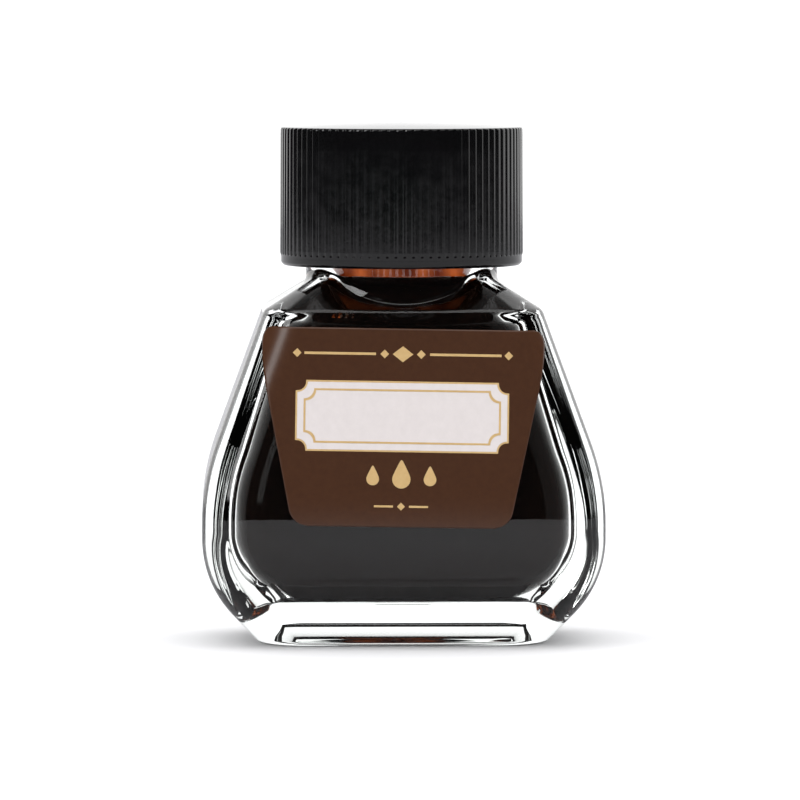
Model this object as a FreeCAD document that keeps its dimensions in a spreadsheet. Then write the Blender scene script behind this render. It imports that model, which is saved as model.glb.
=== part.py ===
import FreeCAD, Part
import math
import os

import Sketcher
from FreeCAD import Placement, Rotation, Vector

# Ink bottle: a heavy pressed-glass bottle that swells to its widest low down and leans in to a
# threaded neck, filled with ink, with a paper label on the front and a ribbed screw cap that holds
# a foam liner.  Millimetres; +Z up, front towards -Y, the bottle stands on Z = 0.

doc = FreeCAD.newDocument("ink_bottle")


# ---------------------------------------------------------------------------- driving dimensions
SIZES = [
    # bottle body, outside
    ("body_half_width", 25.5, "widest half size, left to right"),
    ("body_half_depth", 17.25, "widest half size, front to back"),
    ("body_land_low", 13.9, "lower end of the upright band at the widest place"),
    ("body_land_high", 15.6, "upper end of that band"),
    ("body_upper_arc", 30.0, "radius that turns the band into the leaning walls"),
    ("body_lower_arc", 15.0, "radius that turns the band into the heel"),
    ("wide_lean", 20.0, "lean of the end walls from upright, degrees"),
    ("wide_heel", 42.0, "undercut of the end walls at the heel, degrees"),
    ("deep_lean", 8.5, "lean of the front and back walls from upright, degrees"),
    ("deep_heel", 36.0, "undercut of the front and back walls at the heel, degrees"),
    ("body_corner", 5.5, "radius of the upright corners"),
    ("shoulder_base", 42.7, "height where the walls turn into the shoulder"),
    # cavity
    ("cavity_half_width", 21.0, "widest half size of the ink space"),
    ("cavity_half_depth", 12.7, "same, front to back"),
    ("cavity_land_low", 14.2, "lower end of the cavity's upright band"),
    ("cavity_land_high", 15.4, "upper end of that band"),
    ("cavity_upper_arc", 25.0, "radius above the band"),
    ("cavity_lower_arc", 7.4, "radius below the band"),
    ("cavity_wide_lean", 18.5, "lean of the cavity's end walls, degrees"),
    ("cavity_deep_lean", 8.5, "lean of its front and back walls, degrees"),
    ("cavity_heel", 75.0, "angle at which the lower radius meets the floor, degrees"),
    ("cavity_corner", 3.8, "radius of the cavity's upright corners"),
    ("cavity_floor", 6.8, "height of the floor, which is the glass thickness there"),
    ("cavity_top", 40.2, "height where the cavity turns into the neck"),
    ("floor_dome", 1.0, "rise of the floor at its middle"),
    ("floor_dome_span", 17.0, "radius of the round dome on the floor"),
    # hollow under the base, with walls at 45 degrees
    ("recess_rim_x", 15.3, "half size of the hollow at its rim, left to right"),
    ("recess_rim_y", 7.7, "same, front to back"),
    ("recess_rim_corner", 4.0, "corner radius at the rim"),
    ("recess_rim_height", 0.0, "height of the rim"),
    ("recess_roof_x", 14.2, "half size of the roof of the hollow, left to right"),
    ("recess_roof_y", 6.6, "same, front to back"),
    ("recess_roof_corner", 2.9, "corner radius of the roof"),
    ("recess_roof_height", 1.1, "height of the roof"),
    # neck
    ("neck_radius", 12.2, "outside of the neck under the thread"),
    ("neck_bore", 9.0, "radius of the mouth"),
    ("lip_height", 62.0, "top face of the lip"),
    ("lip_round", 0.9, "rounding of the lip's outer edge"),
    ("thread_pitch", 4.2, "rise of the thread in one turn"),
    ("thread_turns", 1.5, "turns of thread on the neck"),
    ("thread_start", 53.0, "height of the lower end of the glass thread"),
    ("glass_thread_crest", 13.3, "crest radius of the glass thread"),
    ("glass_thread_root_width", 2.2, "width of the glass thread at the neck"),
    ("glass_thread_crest_width", 0.9, "width of its crest"),
    # ink
    ("ink_level", 46.0, "height of the ink surface"),
    # label
    ("label_thickness", 0.12, "paper with its adhesive"),
    ("label_bottom", 15.6, "lower edge of the label"),
    ("label_top", 40.4, "upper edge of the label"),
    ("label_half_top", 18.25, "half width at the upper edge"),
    ("label_half_bottom", 13.65, "half width at the lower edge"),
    ("label_corner", 2.0, "corner radius"),
    ("label_shift", -0.35, "the label is stuck on this far off the middle"),
    # cap
    ("cap_bottom", 47.9, "open end of the cap"),
    ("cap_rim", 65.0, "height of the rim round the top"),
    ("cap_dome", 1.1, "rise of the top from rim to middle"),
    ("cap_radius", 15.5, "over the ribs, at their foot"),
    ("cap_rim_radius", 15.43, "over the ribs, under the rim"),
    ("cap_rim_round", 0.6, "rounding of the rim"),
    ("band_radius", 15.38, "plain band under the ribs"),
    ("band_top", 49.4, "foot of the ribs"),
    ("cap_bore", 13.5, "radius of the skirt's inside"),
    ("rib_count", 88, "ribs round the cap"),
    ("rib_depth", 0.36, "depth of the grooves between the ribs"),
    ("rib_groove", 0.64, "width of a groove at the outside"),
    ("cap_thread_crest", 12.5, "crest radius of the thread inside the cap"),
    ("cap_thread_root_width", 1.7, "width of that thread at the skirt"),
    ("cap_thread_crest_width", 0.7, "width of its crest"),
    ("cap_thread_start", 51.55, "height of the lower end of the cap's thread"),
    # liner
    ("liner_radius", 13.3, "foam disc in the top of the cap"),
    ("liner_thickness", 1.2, "thickness of the disc"),
]


# Level sections of the shoulder and of the cavity's shoulder, from the walls up to the round neck:
# half size left to right, half size front to back, corner radius, height.
SHOULDER = [
    (17.14, 13.20, 5.6, 43.3),
    (16.20, 13.04, 6.0, 43.75),
    (14.70, 12.86, 7.5, 44.25),
    (13.15, 12.66, 9.8, 45.1),
    (12.50, 12.48, 12.30, 46.0),
    (12.30, 12.30, 12.20, 47.2),
]
CAVITY_SHOULDER = [
    (13.30, 9.15, 4.2, 40.9),
    (11.30, 9.05, 6.0, 41.8),
    (9.60, 8.95, 8.3, 43.0),
    (8.80, 8.80, 8.75, 44.6),
]


def section_rows(prefix, sections):
    """Rows of the sheet for a list of level sections."""
    rows = []
    for number, section in enumerate(sections, start=1):
        for part, value in zip(("x", "y", "corner", "height"), section):
            name = "%s_%d_%s" % (prefix, number, part)
            rows.append((name, value, "level section %d" % number))
    return rows


def make_sizes():
    """Spreadsheet with one row per dimension: name, value, meaning; the value carries the alias."""
    table = doc.addObject("Spreadsheet::Sheet", "Sizes")
    rows = SIZES + section_rows("shoulder", SHOULDER)
    rows = rows + section_rows("cavity_shoulder", CAVITY_SHOULDER)
    for row, (name, value, meaning) in enumerate(rows, start=1):
        table.set("A%d" % row, name)
        table.set("B%d" % row, str(value))
        table.set("C%d" % row, meaning)
        table.setAlias("B%d" % row, name)
    doc.recompute()
    return table


sizes = make_sizes()


def size(name):
    """Value of one named dimension."""
    return float(sizes.get(name))


FACING_FRONT = Placement(Vector(0, 0, 0), Rotation(Vector(1, 0, 0), 90))
FACING_SIDE = Placement(Vector(0, 0, 0), Rotation(Vector(1, 1, 1), 120))


# ---------------------------------------------------------------------------- drawing helpers
def bind(thing, **expressions):
    """Tie properties of a document object to expressions over the sheet."""
    for name, expression in expressions.items():
        thing.setExpression(name.replace("__", "."), expression)


def start_sketch(name, placement):
    """Empty sketch lying in the given plane."""
    sketch = doc.addObject("Sketcher::SketchObject", name)
    sketch.Placement = placement
    return sketch


def join(sketch, first, second, smooth=False):
    """End of one curve meets the start of the next, tangent to it when smooth."""
    kind = "Tangent" if smooth else "Coincident"
    sketch.addConstraint(Sketcher.Constraint(kind, first, 2, second, 1))


def drive(sketch, name, expression, kind, *where):
    """Named constraint with its value taken from the sheet."""
    index = sketch.addConstraint(Sketcher.Constraint(kind, *where))
    sketch.renameConstraint(index, name)
    sketch.setExpression("Constraints." + name, expression)


def line(x1, y1, x2, y2):
    return Part.LineSegment(Vector(x1, y1, 0), Vector(x2, y2, 0))


def arc(x, y, radius, start, end):
    circle = Part.Circle(Vector(x, y, 0), Vector(0, 0, 1), radius)
    return Part.ArcOfCircle(circle, math.radians(start), math.radians(end))


def wall_outline(name, placement, half, low, high, upper, lower, lean, heel, top, bottom, grow="0"):
    """Closed outline of the body seen from one side.

    Each wall is an upright band from low to high.  Above it an arc turns the wall inwards by the
    lean angle and a straight runs up to the top; below it a second arc turns the wall by the heel
    angle and a straight runs down to the bottom.  Arguments are names in the sheet; grow is an
    expression that is added all round.
    """
    more = 0.0 if grow == "0" else size(grow)
    grown = "0 mm" if grow == "0" else "Sizes." + grow + " * 1 mm"
    w = size(half) + more
    r_up = size(upper) + more
    r_lo = size(lower) + more
    z_lo = size(low)
    z_hi = size(high)
    a_up = size(lean)
    a_lo = size(heel)
    z_top = size(top)
    z_bot = size(bottom) if bottom else 0.0
    up = math.radians(a_up)
    lo = math.radians(a_lo)
    x_up = w - r_up + r_up * math.cos(up)
    y_up = z_hi + r_up * math.sin(up)
    x_lo = w - r_lo + r_lo * math.cos(lo)
    y_lo = z_lo - r_lo * math.sin(lo)
    x_top = x_up - (z_top - y_up) * math.tan(up)
    x_bot = x_lo - (y_lo - z_bot) / math.tan(math.pi / 2 - lo)

    sketch = start_sketch(name, placement)
    curves = [
        line(-x_bot, z_bot, x_bot, z_bot),
        line(x_bot, z_bot, x_lo, y_lo),
        arc(w - r_lo, z_lo, r_lo, -a_lo, 0),
        line(w, z_lo, w, z_hi),
        arc(w - r_up, z_hi, r_up, 0, a_up),
        line(x_up, y_up, x_top, z_top),
        line(x_top, z_top, -x_top, z_top),
        line(-x_top, z_top, -x_up, y_up),
        arc(r_up - w, z_hi, r_up, 180 - a_up, 180),
        line(-w, z_hi, -w, z_lo),
        arc(r_lo - w, z_lo, r_lo, 180, 180 + a_lo),
        line(-x_lo, y_lo, -x_bot, z_bot),
    ]
    for curve in curves:
        sketch.addGeometry(curve)
    for first in range(12):
        second = (first + 1) % 12
        smooth = first in (1, 2, 3, 4, 7, 8, 9, 10)
        join(sketch, first, second, smooth)
    for level in (0, 6):
        sketch.addConstraint(Sketcher.Constraint("Symmetric", level, 1, level, 2, -2))
    sketch.addConstraint(Sketcher.Constraint("Vertical", 3))
    sketch.addConstraint(Sketcher.Constraint("Symmetric", 3, 1, 9, 2, -2))
    sketch.addConstraint(Sketcher.Constraint("Symmetric", 3, 2, 9, 1, -2))
    sketch.addConstraint(Sketcher.Constraint("Equal", 2, 10))
    sketch.addConstraint(Sketcher.Constraint("Equal", 4, 8))
    drive(sketch, "half", "Sizes.%s * 1 mm + %s" % (half, grown), "DistanceX", -1, 1, 3, 1, w)
    drive(sketch, "low", "Sizes.%s * 1 mm" % low, "DistanceY", -1, 1, 3, 1, z_lo)
    drive(sketch, "high", "Sizes.%s * 1 mm" % high, "DistanceY", -1, 1, 3, 2, z_hi)
    drive(sketch, "upper", "Sizes.%s * 1 mm + %s" % (upper, grown), "Radius", 4, r_up)
    drive(sketch, "lower", "Sizes.%s * 1 mm + %s" % (lower, grown), "Radius", 2, r_lo)
    drive(sketch, "lean", "Sizes.%s * 1 deg + 90 deg" % lean, "Angle", 5, math.pi / 2 + up)
    drive(sketch, "heel", "90 deg - Sizes.%s * 1 deg" % heel, "Angle", 1, math.pi / 2 - lo)
    drive(sketch, "top", "Sizes.%s * 1 mm" % top, "DistanceY", -1, 1, 6, 1, z_top)
    if bottom:
        drive(sketch, "bottom", "Sizes.%s * 1 mm" % bottom, "DistanceY", -1, 1, 0, 1, z_bot)
    else:
        sketch.addConstraint(Sketcher.Constraint("PointOnObject", 0, 1, -1))
    return sketch


def rounded_rectangle(name, half_x, half_y, corner, height):
    """Level rounded rectangle centred on the axis; the arguments are names in the sheet."""
    a = size(half_x)
    b = size(half_y)
    r = size(corner)
    sketch = start_sketch(name, Placement(Vector(0, 0, size(height)), Rotation()))
    sketch.setExpression("Placement.Base.z", "Sizes.%s * 1 mm" % height)
    curves = [
        line(r - a, -b, a - r, -b),
        arc(a - r, r - b, r, -90, 0),
        line(a, r - b, a, b - r),
        arc(a - r, b - r, r, 0, 90),
        line(a - r, b, r - a, b),
        arc(r - a, b - r, r, 90, 180),
        line(-a, b - r, -a, r - b),
        arc(r - a, r - b, r, 180, 270),
    ]
    for curve in curves:
        sketch.addGeometry(curve)
    for first in range(8):
        join(sketch, first, (first + 1) % 8, smooth=True)
    for other in (3, 5, 7):
        sketch.addConstraint(Sketcher.Constraint("Equal", 1, other))
    sketch.addConstraint(Sketcher.Constraint("Horizontal", 0))
    sketch.addConstraint(Sketcher.Constraint("Symmetric", 0, 1, 4, 1, -1, 1))
    drive(sketch, "half_x", "Sizes.%s * 1 mm" % half_x, "DistanceX", -1, 1, 2, 1, a)
    drive(sketch, "half_y", "Sizes.%s * 1 mm" % half_y, "DistanceY", -1, 1, 3, 2, b)
    drive(sketch, "corner", "Sizes.%s * 1 mm" % corner, "Radius", 1, r)
    return sketch


def shoulder_sections(prefix, count):
    """One rounded-rectangle sketch for each level section listed in the sheet under the prefix."""
    sketches = []
    for number in range(1, count + 1):
        stem = "%s_%d_" % (prefix, number)
        names = [stem + part for part in ("x", "y", "corner", "height")]
        sketches.append(rounded_rectangle(stem + "section", *names))
    return sketches


def polygon(name, placement, corners):
    """Closed outline of straight edges; each corner is a pair of expressions over the sheet."""
    sketch = start_sketch(name, placement)
    points = [(value_of(across), value_of(up)) for across, up in corners]
    count = len(points)
    for first in range(count):
        second = (first + 1) % count
        sketch.addGeometry(line(*points[first], *points[second]))
    for first in range(count):
        join(sketch, first, (first + 1) % count)
    for index, (across, up) in enumerate(corners):
        place_corner(sketch, index, "DistanceX", across, points[index][0])
        place_corner(sketch, index, "DistanceY", up, points[index][1])
    return sketch


def place_corner(sketch, index, kind, expression, value):
    """Fix one coordinate of a polygon's corner, on the axis when the coordinate is zero."""
    if expression == "0":
        axis = -2 if kind == "DistanceX" else -1
        sketch.addConstraint(Sketcher.Constraint("PointOnObject", index, 1, axis))
    else:
        name = "%s%d" % ("x" if kind == "DistanceX" else "y", index)
        drive(sketch, name, "(%s) * 1 mm" % expression, kind, -1, 1, index, 1, value)


def value_of(expression):
    """Value of an expression over the sheet."""
    return float(sizes.evalExpression(expression))


# ---------------------------------------------------------------------------- solid helpers
def extrude_both_ways(name, sketch, length):
    """Solid made by pushing an outline out equally to both sides of its plane."""
    solid = doc.addObject("Part::Extrusion", name)
    solid.Base = sketch
    solid.DirMode = "Normal"
    solid.Solid = True
    solid.Symmetric = True
    solid.setExpression("LengthFwd", length)
    return solid


def combine(kind, name, *shapes):
    """Fusion (MultiFuse) or overlap (MultiCommon) of several solids."""
    result = doc.addObject("Part::" + kind, name)
    result.Shapes = list(shapes)
    return result


def cut(name, base, tool):
    result = doc.addObject("Part::Cut", name)
    result.Base = base
    result.Tool = tool
    return result


def round_edges(name, base, radius, wanted):
    """Fillet of the edges of a solid that the wanted function picks out."""
    doc.recompute()
    rounded = doc.addObject("Part::Fillet", name)
    rounded.Base = base
    edges = enumerate(base.Shape.Edges, start=1)
    rounded.Edges = [(number, radius, radius) for number, edge in edges if wanted(edge)]
    doc.recompute()
    return rounded


def loft(name, sections, ruled=False):
    solid = doc.addObject("Part::Loft", name)
    solid.Sections = sections
    solid.Solid = True
    solid.Ruled = ruled
    return solid


def cylinder(name, radius, bottom, top):
    """Upright cylinder on the axis; the arguments are expressions over the sheet."""
    solid = doc.addObject("Part::Cylinder", name)
    solid.setExpression("Radius", "(%s) * 1 mm" % radius)
    solid.setExpression("Height", "(%s - (%s)) * 1 mm" % (top, bottom))
    solid.setExpression("Placement.Base.z", "(%s) * 1 mm" % bottom)
    return solid


def rises(edge):
    return edge.BoundBox.ZLength > 0.3


def swollen_block(name, keys_wide, keys_deep, corner, grow="0"):
    """Body shape: the overlap of the outline seen from the front, pushed through from front to
    back, and the outline seen from the side, pushed through from left to right, with its upright
    corners rounded."""
    front = wall_outline(name + "_front_outline", FACING_FRONT, *keys_wide, grow=grow)
    side = wall_outline(name + "_side_outline", FACING_SIDE, *keys_deep, grow=grow)
    through = "Sizes.body_half_depth * 4 mm"
    across = "Sizes.body_half_width * 4 mm"
    deep = extrude_both_ways(name + "_from_front", front, through)
    wide = extrude_both_ways(name + "_from_side", side, across)
    block = combine("MultiCommon", name + "_block", deep, wide)
    more = 0.0 if grow == "0" else size(grow)
    return round_edges(name + "_rounded", block, size(corner) + more, rises)


def top_seam(name, block):
    """Edge wire of the flat top of a block, which the shoulder grows out of."""
    height = max(corner.Z for corner in block.Shape.Vertexes)
    tops = [face for face in block.Shape.Faces if face.CenterOfMass.z > height - 0.0001]
    seam = doc.addObject("Part::Feature", name)
    seam.Shape = tops[0].OuterWire
    return seam


def thread_ridge(name, foot, crest, foot_width, crest_width, start):
    """Ridge of a right-hand thread: a trapezium swept along a helix round the axis.

    foot and crest are the radii of the trapezium's wide and narrow sides; the foot is sunk
    0.25 mm into the wall that carries the ridge.
    """
    sunk = "(%s > %s ? 0.25 : -0.25)" % (foot, crest)
    corners = [
        ("%s + %s" % (foot, sunk), "-%s / 2" % foot_width),
        (crest, "-%s / 2" % crest_width),
        (crest, "%s / 2" % crest_width),
        ("%s + %s" % (foot, sunk), "%s / 2" % foot_width),
    ]
    profile = polygon(name + "_profile", FACING_FRONT, corners)
    helix = doc.addObject("Part::Helix", name + "_helix")
    helix.setExpression("Pitch", "Sizes.thread_pitch * 1 mm")
    helix.setExpression("Height", "Sizes.thread_pitch * Sizes.thread_turns * 1 mm")
    helix.setExpression("Radius", "%s * 1 mm" % crest)
    doc.recompute()
    ridge = doc.addObject("Part::Sweep", name)
    ridge.Sections = [profile]
    ridge.Spine = (helix, ["Edge1"])
    ridge.Solid = True
    ridge.Frenet = True
    ridge.setExpression("Placement.Base.z", "%s * 1 mm" % start)
    return ridge


# ---------------------------------------------------------------------------- glass bottle
BODY_WIDE = ("body_half_width", "body_land_low", "body_land_high", "body_upper_arc",
             "body_lower_arc", "wide_lean", "wide_heel", "shoulder_base", None)
BODY_DEEP = ("body_half_depth", "body_land_low", "body_land_high", "body_upper_arc",
             "body_lower_arc", "deep_lean", "deep_heel", "shoulder_base", None)
CAVITY_WIDE = ("cavity_half_width", "cavity_land_low", "cavity_land_high", "cavity_upper_arc",
               "cavity_lower_arc", "cavity_wide_lean", "cavity_heel", "cavity_top", "cavity_floor")
CAVITY_DEEP = ("cavity_half_depth", "cavity_land_low", "cavity_land_high", "cavity_upper_arc",
               "cavity_lower_arc", "cavity_deep_lean", "cavity_heel", "cavity_top", "cavity_floor")


def make_neck():
    """Plain cylinder of the neck with its lip rounded outside."""
    shaft = cylinder("neck_shaft", "Sizes.neck_radius", "Sizes.shoulder_base + 1",
                     "Sizes.lip_height")
    doc.recompute()
    top = size("lip_height")
    return round_edges("neck", shaft, size("lip_round"), lambda e: e.BoundBox.ZMin > top - 0.001)


def make_glass_outside():
    """Body, shoulder, neck and thread of the bottle as one solid."""
    body = swollen_block("body", BODY_WIDE, BODY_DEEP, "body_corner")
    seam = top_seam("shoulder_seam", body)
    shoulder = loft("shoulder", [seam] + shoulder_sections("shoulder", len(SHOULDER)))
    thread = thread_ridge("glass_thread", "Sizes.neck_radius", "Sizes.glass_thread_crest",
                          "Sizes.glass_thread_root_width", "Sizes.glass_thread_crest_width",
                          "Sizes.thread_start")
    return body, combine("MultiFuse", "glass_outside", body, shoulder, make_neck(), thread)


def make_cavity():
    """Everything hollow inside the bottle up to the mouth, as one solid."""
    block = swollen_block("cavity", CAVITY_WIDE, CAVITY_DEEP, "cavity_corner")
    seam = top_seam("cavity_seam", block)
    upper = loft("cavity_shoulder",
                 [seam] + shoulder_sections("cavity_shoulder", len(CAVITY_SHOULDER)))
    bore = cylinder("bore", "Sizes.neck_bore", "Sizes.cavity_top + 2", "Sizes.lip_height + 1")
    hollow = combine("MultiFuse", "hollow", block, upper, bore)
    dome = doc.addObject("Part::Sphere", "floor_dome")
    rise = "(Sizes.floor_dome_span ^ 2 / Sizes.floor_dome + Sizes.floor_dome) / 2"
    dome.setExpression("Radius", "(%s) * 1 mm" % rise)
    dome.setExpression("Placement.Base.z",
                       "(Sizes.cavity_floor + Sizes.floor_dome - %s) * 1 mm" % rise)
    return cut("cavity", hollow, dome)


def make_recess():
    """Shallow hollow under the base, which leaves a bearing ring round it."""
    rim = rounded_rectangle("recess_rim", "recess_rim_x", "recess_rim_y", "recess_rim_corner",
                            "recess_rim_height")
    roof = rounded_rectangle("recess_roof", "recess_roof_x", "recess_roof_y",
                             "recess_roof_corner", "recess_roof_height")
    return loft("recess", [rim, roof], ruled=True)


def make_glass_bottle(outside, cavity, recess):
    openings = combine("MultiFuse", "glass_openings", cavity, recess)
    return cut("glass_bottle", outside, openings)


# ---------------------------------------------------------------------------- ink
def make_ink(cavity):
    """The ink takes the shape of the cavity up to its level."""
    air = doc.addObject("Part::Box", "air_above_ink")
    bind(air, Length="Sizes.body_half_width * 2 mm", Width="Sizes.body_half_width * 2 mm",
         Height="Sizes.lip_height * 1 mm", Placement__Base__x="-Sizes.body_half_width * 1 mm",
         Placement__Base__y="-Sizes.body_half_width * 1 mm",
         Placement__Base__z="Sizes.ink_level * 1 mm")
    return cut("ink", cavity, air)


# ---------------------------------------------------------------------------- front label
def make_label_outline():
    """The paper before it is bent round the glass: a trapezium with rounded corners, as a block
    that reaches forward from the middle of the bottle."""
    left_top = "Sizes.label_shift - Sizes.label_half_top"
    right_top = "Sizes.label_shift + Sizes.label_half_top"
    left_bottom = "Sizes.label_shift - Sizes.label_half_bottom"
    right_bottom = "Sizes.label_shift + Sizes.label_half_bottom"
    corners = [
        (left_bottom, "Sizes.label_bottom"),
        (right_bottom, "Sizes.label_bottom"),
        (right_top, "Sizes.label_top"),
        (left_top, "Sizes.label_top"),
    ]
    sketch = polygon("label_outline", FACING_FRONT, corners)
    block = doc.addObject("Part::Extrusion", "label_block")
    block.Base = sketch
    block.DirMode = "Normal"
    block.Solid = True
    block.setExpression("LengthFwd", "Sizes.body_half_depth * 2 mm")
    return round_edges("label_rounded_block", block, size("label_corner"),
                       lambda e: e.BoundBox.YLength > 10 and e.BoundBox.ZLength < 0.001)


def make_front_label(body):
    """Thin shell that lies on the glass: the body grown by the paper's thickness, less the body,
    within the label's outline."""
    grown = swollen_block("label_skin", BODY_WIDE, BODY_DEEP, "body_corner",
                          grow="label_thickness")
    patch = combine("MultiCommon", "label_patch", grown, make_label_outline())
    return cut("front_label", patch, body)


# ---------------------------------------------------------------------------- screw cap
def plane_of(body, role):
    """One of a body's own origin planes or axes."""
    return [item for item in body.Origin.OriginFeatures if item.Role == role][0]


def make_cap_turned(body):
    """Cap without ribs or thread: half section revolved round the axis."""
    sketch = body.newObject("Sketcher::SketchObject", "cap_section")
    sketch.AttachmentSupport = [(plane_of(body, "XZ_Plane"), "")]
    sketch.MapMode = "FlatFace"
    bore = size("cap_bore")
    low = size("cap_bottom")
    band = size("band_radius")
    foot = size("band_top")
    wide = size("cap_radius")
    rim_r = size("cap_rim_radius")
    rim = size("cap_rim")
    rnd = size("cap_rim_round")
    crown = rim + size("cap_dome")
    seat = size("lip_height") + size("liner_thickness")
    dome_r = ((rim_r - rnd) ** 2 / size("cap_dome") + size("cap_dome")) / 2
    dome_a = math.degrees(math.asin((rim_r - rnd) / dome_r))
    dome_c = (0, crown - dome_r)
    curves = [
        line(0, seat, bore, seat),
        line(bore, seat, bore, low + 0.4),
        line(bore, low + 0.4, bore + 0.4, low),
        line(bore + 0.4, low, band - 0.35, low),
        line(band - 0.35, low, band, low + 0.35),
        line(band, low + 0.35, band, foot - 0.3),
        line(band, foot - 0.3, wide, foot),
        line(wide, foot, rim_r, rim - rnd),
        arc(rim_r - rnd, rim - rnd, rnd, 0, 90),
        arc(*dome_c, dome_r, 90 - dome_a, 90),
        line(0, crown, 0, seat),
    ]
    for curve in curves:
        sketch.addGeometry(curve)
    ends = [(0, 2, 1, 1), (1, 2, 2, 1), (2, 2, 3, 1), (3, 2, 4, 1), (4, 2, 5, 1), (5, 2, 6, 1),
            (6, 2, 7, 1), (7, 2, 8, 1), (8, 2, 9, 1), (9, 2, 10, 1), (10, 2, 0, 1)]
    for where in ends:
        sketch.addConstraint(Sketcher.Constraint("Coincident", *where))
    sketch.addConstraint(Sketcher.Constraint("Horizontal", 0))
    sketch.addConstraint(Sketcher.Constraint("Vertical", 1))
    sketch.addConstraint(Sketcher.Constraint("Horizontal", 3))
    sketch.addConstraint(Sketcher.Constraint("Vertical", 5))
    sketch.addConstraint(Sketcher.Constraint("PointOnObject", 0, 1, -2))
    sketch.addConstraint(Sketcher.Constraint("PointOnObject", 9, 2, -2))
    sketch.addConstraint(Sketcher.Constraint("PointOnObject", 9, 3, -2))
    mm = " * 1 mm"
    drive(sketch, "bore", "Sizes.cap_bore" + mm, "DistanceX", -1, 1, 1, 1, bore)
    drive(sketch, "seat", "(Sizes.lip_height + Sizes.liner_thickness)" + mm,
          "DistanceY", -1, 1, 1, 1, seat)
    drive(sketch, "lead_x", "(Sizes.cap_bore + 0.4)" + mm, "DistanceX", -1, 1, 3, 1, bore + 0.4)
    drive(sketch, "lead_y", "(Sizes.cap_bottom + 0.4)" + mm, "DistanceY", -1, 1, 2, 1, low + 0.4)
    drive(sketch, "low", "Sizes.cap_bottom" + mm, "DistanceY", -1, 1, 3, 1, low)
    drive(sketch, "toe_x", "(Sizes.band_radius - 0.35)" + mm, "DistanceX", -1, 1, 4, 1,
          band - 0.35)
    drive(sketch, "toe_y", "(Sizes.cap_bottom + 0.35)" + mm, "DistanceY", -1, 1, 5, 1, low + 0.35)
    drive(sketch, "band", "Sizes.band_radius" + mm, "DistanceX", -1, 1, 5, 1, band)
    drive(sketch, "step", "(Sizes.band_top - 0.3)" + mm, "DistanceY", -1, 1, 6, 1, foot - 0.3)
    drive(sketch, "foot_x", "Sizes.cap_radius" + mm, "DistanceX", -1, 1, 7, 1, wide)
    drive(sketch, "foot_y", "Sizes.band_top" + mm, "DistanceY", -1, 1, 7, 1, foot)
    drive(sketch, "rim_x", "Sizes.cap_rim_radius" + mm, "DistanceX", -1, 1, 7, 2, rim_r)
    drive(sketch, "rim_y", "(Sizes.cap_rim - Sizes.cap_rim_round)" + mm,
          "DistanceY", -1, 1, 7, 2, rim - rnd)
    drive(sketch, "edge_x", "(Sizes.cap_rim_radius - Sizes.cap_rim_round)" + mm,
          "DistanceX", -1, 1, 8, 2, rim_r - rnd)
    drive(sketch, "edge_y", "Sizes.cap_rim" + mm, "DistanceY", -1, 1, 8, 2, rim)
    drive(sketch, "edge_r", "Sizes.cap_rim_round" + mm, "Radius", 8, rnd)
    drive(sketch, "crown", "(Sizes.cap_rim + Sizes.cap_dome)" + mm,
          "DistanceY", -1, 1, 9, 2, crown)
    turned = body.newObject("PartDesign::Revolution", "cap_turned")
    turned.Profile = sketch
    turned.ReferenceAxis = (sketch, ["V_Axis"])
    turned.Angle = 360
    sketch.Visibility = False
    doc.recompute()
    return turned


def make_cap_grooves(body):
    """One V groove from the foot of the ribs up through the rim, repeated all round."""
    sketch = body.newObject("Sketcher::SketchObject", "groove_section")
    sketch.AttachmentSupport = [(plane_of(body, "XY_Plane"), "")]
    sketch.MapMode = "FlatFace"
    sketch.setExpression("AttachmentOffset.Base.z", "Sizes.band_top * 1 mm")
    deep = size("cap_radius") - size("rib_depth")
    wide = size("cap_radius") + size("rib_depth")
    half = size("rib_groove")
    sketch.addGeometry(line(deep, 0, wide, half))
    sketch.addGeometry(line(wide, half, wide, -half))
    sketch.addGeometry(line(wide, -half, deep, 0))
    for first in range(3):
        join(sketch, first, (first + 1) % 3)
    sketch.addConstraint(Sketcher.Constraint("PointOnObject", 0, 1, -1))
    sketch.addConstraint(Sketcher.Constraint("Symmetric", 1, 1, 1, 2, -1))
    drive(sketch, "deep", "(Sizes.cap_radius - Sizes.rib_depth) * 1 mm",
          "DistanceX", -1, 1, 0, 1, deep)
    drive(sketch, "wide", "(Sizes.cap_radius + Sizes.rib_depth) * 1 mm",
          "DistanceX", -1, 1, 1, 1, wide)
    drive(sketch, "mouth", "Sizes.rib_groove * 2 mm", "DistanceY", 1, 2, 1, 1, 2 * half)
    groove = body.newObject("PartDesign::Pocket", "cap_groove")
    groove.Profile = sketch
    groove.Reversed = True
    groove.setExpression("Length", "(Sizes.cap_rim + Sizes.cap_dome - Sizes.band_top) * 1 mm")
    sketch.Visibility = False
    doc.recompute()
    ribs = body.newObject("PartDesign::PolarPattern", "cap_ribs")
    ribs.Originals = [groove]
    ribs.Axis = (plane_of(body, "Z_Axis"), [""])
    ribs.Angle = 360
    ribs.setExpression("Occurrences", "Sizes.rib_count")
    body.Tip = ribs
    doc.recompute()
    return ribs


def make_screw_cap():
    body = doc.addObject("PartDesign::Body", "cap_shell")
    turned = make_cap_turned(body)
    plain = turned.Shape.Volume
    ribs = make_cap_grooves(body)
    if not ribs.Shape.Volume < plain - 50:
        raise RuntimeError("the grooves did not cut the cap")
    thread = thread_ridge("cap_thread", "Sizes.cap_bore", "Sizes.cap_thread_crest",
                          "Sizes.cap_thread_root_width", "Sizes.cap_thread_crest_width",
                          "Sizes.cap_thread_start")
    return combine("MultiFuse", "screw_cap", body, thread)


# ---------------------------------------------------------------------------- cap liner
def make_cap_liner():
    return cylinder("cap_liner", "Sizes.liner_radius", "Sizes.lip_height",
                    "Sizes.lip_height + Sizes.liner_thickness")


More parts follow.
